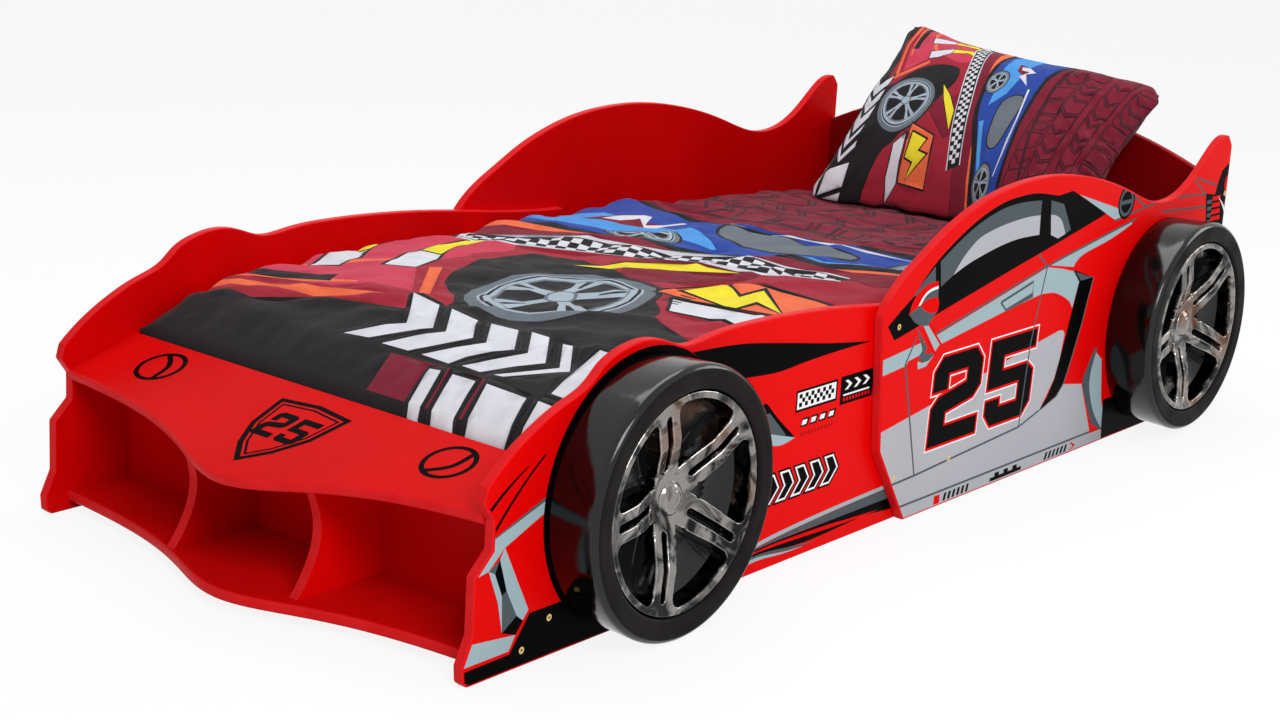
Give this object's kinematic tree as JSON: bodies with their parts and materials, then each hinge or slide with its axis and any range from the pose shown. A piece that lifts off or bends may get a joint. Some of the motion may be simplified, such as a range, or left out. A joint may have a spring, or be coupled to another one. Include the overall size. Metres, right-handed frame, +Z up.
{
  "type": "children's car bed",
  "caption": "Single bed for a child with painted board sides cut like a racing car, two fixed wheels on its open side, a nose shelf, slats, mattress, duvet and pillow.",
  "frame": {"origin": "middle of the whole object's footprint, on the floor", "axes": "+X from the nose to the head end, +Y to the car's right side, +Z up"},
  "size_m": [2.2812, 1.088, 0.7131],
  "materials": {
    "painted_board": "red satin lacquer on fibreboard",
    "bare_wood": "sanded, unpainted",
    "webbing": "woven band",
    "tyre_plastic": "gloss black formed sheet",
    "rim_chrome": "dark metallised plastic",
    "brass_screws": "yellow plated",
    "steel_screws": "zinc plated",
    "mattress_ticking": "woven ticking over foam",
    "bedding_cotton": "printed cotton, creased"
  },
  "bodies": {
    "root": {"front_side_board_left": "painted_board", "front_side_board_right": "painted_board", "rear_side_board_left": "painted_board", "rear_side_board_right": "painted_board", "headboard": "painted_board", "footboard": "painted_board", "hood_board": "painted_board", "nose_floor": "painted_board", "nose_divider_left": "painted_board", "nose_divider_right": "painted_board", "slat_rail_left": "bare_wood", "slat_rail_right": "bare_wood", "rail_packer_left": "bare_wood", "rail_packer_right": "bare_wood", "foot_cleat": "bare_wood", "head_cleat": "bare_wood", "tyre_shell_front": "tyre_plastic", "wheel_rim_front": "rim_chrome", "hub_cap_front": "rim_chrome", "wheel_block_front": "bare_wood", "tyre_shell_rear": "tyre_plastic", "wheel_rim_rear": "rim_chrome", "hub_cap_rear": "rim_chrome", "wheel_block_rear": "bare_wood", "nose_screws": "brass_screws", "side_joint_screws": "brass_screws", "headboard_screws": "brass_screws", "rail_screws": "steel_screws", "wheel_screws": "steel_screws", "hood_dowels": "bare_wood", "divider_dowels": "bare_wood"},
    "slat_base": {"slat_01": "bare_wood", "slat_02": "bare_wood", "slat_03": "bare_wood", "slat_04": "bare_wood", "slat_05": "bare_wood", "slat_06": "bare_wood", "slat_07": "bare_wood", "slat_08": "bare_wood", "slat_09": "bare_wood", "slat_10": "bare_wood", "slat_11": "bare_wood", "slat_12": "bare_wood", "slat_13": "bare_wood", "slat_strap_left": "webbing", "slat_strap_right": "webbing"},
    "mattress": {"mattress": "mattress_ticking"},
    "duvet": {"duvet": "bedding_cotton"},
    "pillow": {"pillow": "bedding_cotton"}
  },
  "joints": [
    {"name": "slat_base_lift", "type": "slide", "parent": "root", "child": "slat_base", "axis": [0, 0, 1], "range_m": [0, 0.45]},
    {"name": "mattress_lift", "type": "slide", "parent": "slat_base", "child": "mattress", "axis": [0, 0, 1], "range_m": [0, 0.45]},
    {"name": "duvet_lift", "type": "slide", "parent": "mattress", "child": "duvet", "axis": [0, 0, 1], "range_m": [0, 0.45]},
    {"name": "pillow_lift", "type": "slide", "parent": "duvet", "child": "pillow", "axis": [0, 0, 1], "range_m": [0, 0.6]}
  ]
}
